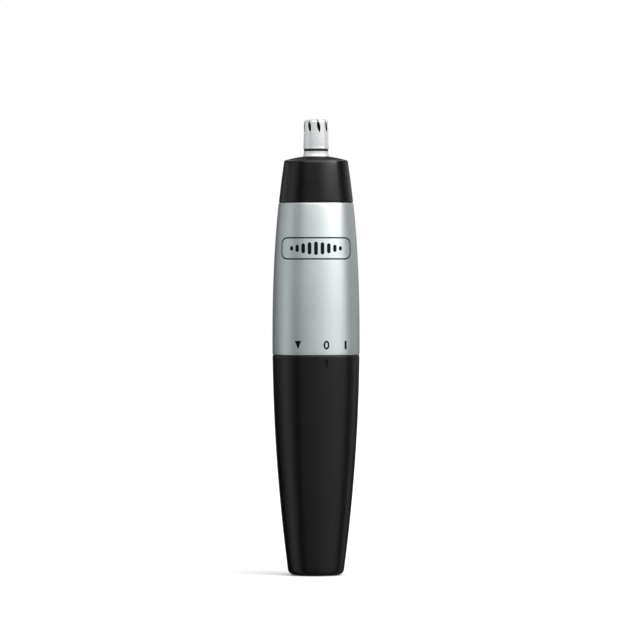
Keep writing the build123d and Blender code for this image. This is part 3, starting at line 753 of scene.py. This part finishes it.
def slot_tool(angle):
    """Helper: a leaf that leans, with a narrow neck over the shoulder to the tube's top."""
    half, neck, over_z, out_r = SLOT_WIDTH / 2, SLOT_TOP_WIDTH / 2, TIP_Z + 1, 4.6
    right = arc_through((0, SLOT_Z), (half, SLOT_WIDE_Z), (neck, SLOT_SHOULDER_Z))
    left = [(-y, z) for y, z in reversed(right[1:])]
    leaf = right + [(neck, over_z), (-neck, over_z)] + left

    def make(edit):
        sides = [[(r, y, z) for y, z in leaf] for r in (SLOT_IN_R, out_r)]
        prism(edit, *sides)
        middle, lean = Vector((0, 0, SLOT_WIDE_Z)), Matrix.Rotation(radians(SLOT_LEAN), 3, "X")
        bmesh.ops.rotate(edit, cent=middle, matrix=lean, verts=edit.verts)
        turn_about_z(edit, angle)

    return helper(make)


def cutter_coil():
    """The spring under the washer, which the cutter presses shorter; this piece is made at one length.
    """
    per_turn, around = 48, 12
    count, height = SPRING_TURNS * per_turn, SPRING_TOP_Z - SPRING_LOW_Z
    slope = height / SPRING_TURNS / (2 * pi * SPRING_R)
    bearings = [2 * pi * k / around for k in range(around)]

    def make(edit):
        rings = []
        for i in range(count + 1):
            a = 2 * pi * i / per_turn
            out = Vector((cos(a), sin(a), 0))
            along = Vector((-sin(a), cos(a), slope)).normalized()
            centre = out * SPRING_R + Vector((0, 0, SPRING_LOW_Z + height * i / count))
            up = out.cross(along)
            wire = [centre + (out * cos(b) + up * sin(b)) * SPRING_WIRE_R for b in bearings]
            rings.append([edit.verts.new(point) for point in wire])
        for low, high in zip(rings, rings[1:]):
            for k in range(around):
                j = (k + 1) % around
                edit.faces.new((low[k], low[j], high[j], high[k]))
        edit.faces.new(rings[0])
        edit.faces.new(rings[-1])

    piece = new_piece("cutter_coil", make, "head", "spring_steel", sharp=60)
    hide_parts("cutter_spring")
    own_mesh(piece)


# ---- print on the grip ---------------------------------------------------------------------------
INK_HEIGHT = 0.015
MARK_ROW_Z = (64.5, 66.9)       # lowest and highest of the three switch marks
OPEN_ANGLE = -24.2              # angles of the marks from the front, + towards +X
OFF_ANGLE = 13.9
ON_ANGLE = 42.4


def printed(name, place, columns, rows, loop=False):
    """A thin closed patch of ink on the grip. place(u, v) gives an arc from the front and a height."""
    count = columns if loop else columns + 1
    pairs = [(i, (i + 1) % count) for i in range(columns)]

    def vertex(edit, i, j, lift):
        arc, z = place(i / columns, j / rows)
        r = grip_radius(z) + lift
        a = arc / grip_radius(z)
        return edit.verts.new((r * sin(a), -r * cos(a), z))

    def make(edit):
        top = [[vertex(edit, i, j, INK_HEIGHT) for j in range(rows + 1)] for i in range(count)]
        low = [[vertex(edit, i, j, -INK_HEIGHT) for j in range(rows + 1)] for i in range(count)]
        for grid in (top, low):
            for i, k in pairs:
                for j in range(rows):
                    edit.faces.new((grid[i][j], grid[k][j], grid[k][j + 1], grid[i][j + 1]))
        for i, k in pairs:
            for j in (0, rows):
                edit.faces.new((top[i][j], top[k][j], low[k][j], low[i][j]))
        if not loop:
            for i in (0, count - 1):
                for j in range(rows):
                    edit.faces.new((top[i][j], top[i][j + 1], low[i][j + 1], low[i][j]))

    piece = new_piece(name, make, "handle", "grip_silver")
    piece.data.materials[0] = INK


def switch_marks():
    """An arrow, a ring and a bar over the base's index mark, in the order open, off and on."""
    low_z, high_z = MARK_ROW_Z
    middle_z = (low_z + high_z) / 2
    open_x, off_x, on_x = (radians(a) * grip_radius(middle_z) for a in (OPEN_ANGLE, OFF_ANGLE, ON_ANGLE))
    arrow_width, tip_share, bar_width = 1.9, 0.04, 0.74
    ring_w, ring_h, line_w, line_h = 0.86, 1.25, 0.48, 0.5      # outer half sizes and line widths

    def arrow(u, v):
        width = arrow_width * (tip_share + (1 - tip_share) * v)
        return open_x + (u - 0.5) * width, low_z + (high_z - low_z) * v

    def ring(u, v):
        a = 2 * pi * u
        return off_x + (ring_w - line_w * v) * sin(a), middle_z + (ring_h - line_h * v) * cos(a)

    def upright(u, v):
        return on_x + (u - 0.5) * bar_width, low_z + (high_z - low_z) * v

    printed("mark_open", arrow, 10, 8)
    printed("mark_off", ring, 48, 2, loop=True)
    printed("mark_on", upright, 4, 6)


def badge():
    """A plain rounded frame with a row of upright bars in it."""
    middle_z, half_w, half_h, line = 93.15, 11.6, 3.2, 0.4
    corner_w, corner_h = 2.7, 1.9
    bar_heights, bar_pitch, bar_half_w = (1.3, 2.1, 2.9, 3.5, 3.9, 3.5, 2.9, 2.1, 1.3), 1.85, 0.53

    def frame_line(u, v):
        inset = line * v
        x, z = rounded_path(u, half_w - inset, half_h - inset, corner_w - inset, corner_h - inset)
        return x, middle_z + z

    printed("badge_outline", frame_line, 176, 2, loop=True)
    for i, height in enumerate(bar_heights):
        x = (i - (len(bar_heights) - 1) / 2) * bar_pitch
        printed(f"badge_bar_{i + 1}", bar(x, middle_z, bar_half_w, height / 2), 6, 14)


def rounded_path(u, half_w, half_h, corner_w, corner_h):
    """A point on a rectangle with elliptical corners, a fraction u clockwise from its top's middle."""
    flat_w, flat_h = half_w - corner_w, half_h - corner_h
    legs = (flat_w, corner_w + corner_h, 2 * flat_h, corner_w + corner_h, flat_w)
    half = sum(legs)
    s = (u % 1) * 2 * half
    side = 1 if s < half else -1
    s = s if s < half else 2 * half - s
    if s < legs[0]:
        return side * s, half_h
    s -= legs[0]
    if s < legs[1]:
        q = pi / 2 * s / legs[1]
        return side * (flat_w + corner_w * sin(q)), flat_h + corner_h * cos(q)
    s -= legs[1]
    if s < legs[2]:
        return side * half_w, flat_h - s
    s -= legs[2]
    if s < legs[3]:
        q = pi / 2 * s / legs[3]
        return side * (flat_w + corner_w * cos(q)), -flat_h - corner_h * sin(q)
    return side * (flat_w - (s - legs[3])), -half_h


def bar(x, z, half_w, half_h):
    """A round-ended upright bar as a grid."""
    least = 0.04            # half width left at the very ends

    def place(u, v):
        height = (2 * v - 1) * half_h
        end = max(0.0, abs(height) - (half_h - half_w))
        wide = sqrt(max(0.0, half_w**2 - end**2))
        return x + (2 * u - 1) * max(wide, least), z + height

    return place


# ---- make everything -----------------------------------------------------------------------------
for part in frame["record"]["subparts"]:
    node = frame["nodes"][part["node"]]
    node.data.materials.clear()
    node.data.materials.append(MATERIALS[part["material_slot"]])

grip_skin()
base_skin()
head_skin()
cutter_tube()
cutter_coil()
switch_marks()
badge()


# ---- stage, light and camera ---------------------------------------------------------------------
def make_floor():
    """A pale card, a hair under the foot. Sizes in metres."""
    radius, gap = 4.0, 0.0002
    mesh = bpy.data.meshes.new("floor")
    edit = bmesh.new()
    bmesh.ops.create_circle(edit, cap_ends=True, radius=radius, segments=96)
    edit.to_mesh(mesh)
    edit.free()
    floor = bpy.data.objects.new("floor", mesh)
    bpy.context.scene.collection.objects.link(floor)
    paint = Paint("floor_card", specular=0.0)
    paint.colour(paint.grain(60), (0.835, 0.835, 0.835), (0.845, 0.845, 0.845))
    paint.rough(paint.grain(40), 0.8, 0.9)
    floor.data.materials.append(paint.material)
    floor.location.z = -gap
    floor.visible_glossy = False


# The studio that glossy surfaces see. Each light has a tint, a level, how it spreads by bearing
# (degrees, 0 is the camera's side and + is towards +X) and how it spreads by elevation (degrees).
STUDIO = {
    "room": (
        (0.96, 1, 1), 1.0,
        [
            (-180, 0.16), (-162, 0.12), (-150, 0), (-129, 0.01), (-113, 0.13), (-100, 0.37), (-88, 0.52),
            (-78, 0.46), (-68, 0.26), (-59, 0.09), (-51, 0.05), (-41, 0.18), (-33, 0.26), (0, 0.33),
            (15, 0.42), (35, 0.48), (57, 0.52), (76, 0.47), (86, 0.33), (97, 0.08), (106, 0.09),
            (116, 0.2), (128, 0.28), (140, 0.08), (150, 0), (162, 0.12), (180, 0.16),
        ],
        [
            (-90, 0.4), (-30, 0.55), (-8, 0.9), (-1, 0.96), (3, 1.06), (8, 1.04), (13, 0.92), (30, 0.95),
            (60, 0.6), (90, 0.5),
        ],
    ),
    "key": (
        (1.06, 1, 0.99), 2.6,
        [(10, 0), (20, 0.12), (30, 0.34), (42, 0.62), (54, 0.86), (64, 1.15), (79, 1.32), (84, 0)],
        [
            (-1, 0), (2, 0.06), (11.5, 0.06), (13.5, 0.2), (15.3, 0.62), (17, 1.05), (21, 0.95),
            (27, 0.55), (38, 0.35), (52, 0.25), (62, 0),
        ],
    ),
    "overhead": (
        (1.06, 1, 0.99), 4.25,
        [
            (-180, 0.22), (-140, 0.2), (-110, 0.04), (-85, 0), (-60, 0.24), (-30, 0.58), (0, 0.74),
            (40, 0.66), (62, 0.76), (78, 0.98), (95, 0.98), (101, 0.04), (120, 0.05), (150, 0.2),
            (180, 0.22),
        ],
        [(20, 0), (27, 1), (58, 1), (68, 0)],
    ),
    "rims": (
        (0.97, 1, 1), 0.36,
        [
            (-150, 0), (-140, 0.5), (-125, 1), (-110, 0.6), (-98, 0), (128, 0), (142, 1), (155, 0.9),
            (165, 0),
        ],
        [(-3, 0), (4, 1), (8, 1), (12, 0.15), (60, 0.15), (75, 0)],
    ),
}
DAYLIGHT = 1.0          # what reaches matt surfaces, the same from every side
BACKDROP = 1.0          # what the camera sees behind the floor


class Room(NodeTree):
    """The world's nodes: the studio for glossy rays, daylight for matt ones, white for the camera."""

    def __init__(self):
        world = bpy.data.worlds.new("studio")
        bpy.context.scene.world = world
        super().__init__(world)
        self.nodes.clear()
        direction = self.node("ShaderNodeTexCoord").outputs["Generated"]
        x, y, z = self.node("ShaderNodeSeparateXYZ", Vector=direction).outputs
        turn = self.calculate("ARCTAN2", x, self.calculate("MULTIPLY", y, -1.0))
        self.bearing = self.calculate("ADD", self.calculate("DIVIDE", turn, 2 * pi), 0.5)
        self.height = self.calculate("ADD", self.calculate("MULTIPLY", z, 0.5), 0.5)
        self.rays = self.node("ShaderNodeLightPath")

    def ramp(self, place, stops):
        """A level that changes along a place between 0 and 1."""
        made = self.node("ShaderNodeValToRGB")
        elements = made.color_ramp.elements
        while len(elements) > 1:
            elements.remove(elements[-1])
        for i, (at, level) in enumerate(stops):
            stop = elements[0] if i == 0 else elements.new(at)
            stop.position = at
            stop.color = (level, level, level, 1)
        self.links.new(place, made.inputs[0])
        return made.outputs["Color"]

    def light(self, tint, level, bearings, elevations):
        around = [((a + 180) / 360, share) for a, share in bearings]
        upwards = [((sin(radians(a)) + 1) / 2, share) for a, share in elevations]
        by_bearing, by_height = self.ramp(self.bearing, around), self.ramp(self.height, upwards)
        spread = self.calculate("MULTIPLY", by_bearing, by_height)
        return self.background(tint, self.calculate("MULTIPLY", spread, level))

    def background(self, tint, level):
        return self.node("ShaderNodeBackground", Color=(*tint, 1), Strength=level).outputs[0]

    def joined(self, kind, a, b):
        made = self.node(kind)
        sockets = [socket for socket in made.inputs if socket.type == "SHADER"]
        self.links.new(a, sockets[0])
        self.links.new(b, sockets[1])
        return made

    def chosen(self, ray, other, this):
        """One background for a kind of ray, and another for the rest."""
        made = self.joined("ShaderNodeMixShader", other, this)
        self.links.new(self.rays.outputs[ray], made.inputs[0])
        return made.outputs[0]


def make_room():
    white, black = (1, 1, 1), (0, 0, 0)
    room = Room()
    seen = room.background(black, 0.0)
    for light in STUDIO.values():
        seen = room.joined("ShaderNodeAddShader", seen, room.light(*light)).outputs[0]
    seen = room.chosen("Is Diffuse Ray", seen, room.background(white, DAYLIGHT))
    seen = room.chosen("Is Camera Ray", seen, room.background(white, BACKDROP))
    room.node("ShaderNodeOutputWorld", Surface=seen)


def make_sun(bearing=35, elevation=50, strength=0.8, spread=24):
    """Broad key light that shapes matt surfaces and the shadow. Mirrors see the studio instead."""
    light = bpy.data.lights.new("sun", "SUN")
    light.energy = strength
    light.angle = radians(spread)
    sun = bpy.data.objects.new("sun", light)
    a, e = radians(bearing), radians(elevation)
    towards = Vector((sin(a) * cos(e), -cos(a) * cos(e), sin(e)))
    sun.rotation_euler = towards.to_track_quat("Z", "Y").to_euler()
    sun.visible_glossy = False
    bpy.context.scene.collection.objects.link(sun)


def make_camera():
    """Long lens from the front, a little above the middle of the trimmer. Places in metres."""
    side, distance, eye_z, aim_z = 0.00114, 1.6, 0.0887, 0.0727
    data = bpy.data.cameras.new("camera")
    data.lens = 315
    data.sensor_width = 36
    camera = bpy.data.objects.new("camera", data)
    bpy.context.scene.collection.objects.link(camera)
    aim = Vector((side, 0, aim_z))
    camera.location = Vector((side, -distance, eye_z))
    camera.rotation_euler = (camera.location - aim).to_track_quat("Z", "Y").to_euler()
    bpy.context.scene.camera = camera


make_floor()
make_room()
make_sun()
make_camera()
bpy.context.scene.view_settings.view_transform = "Standard"
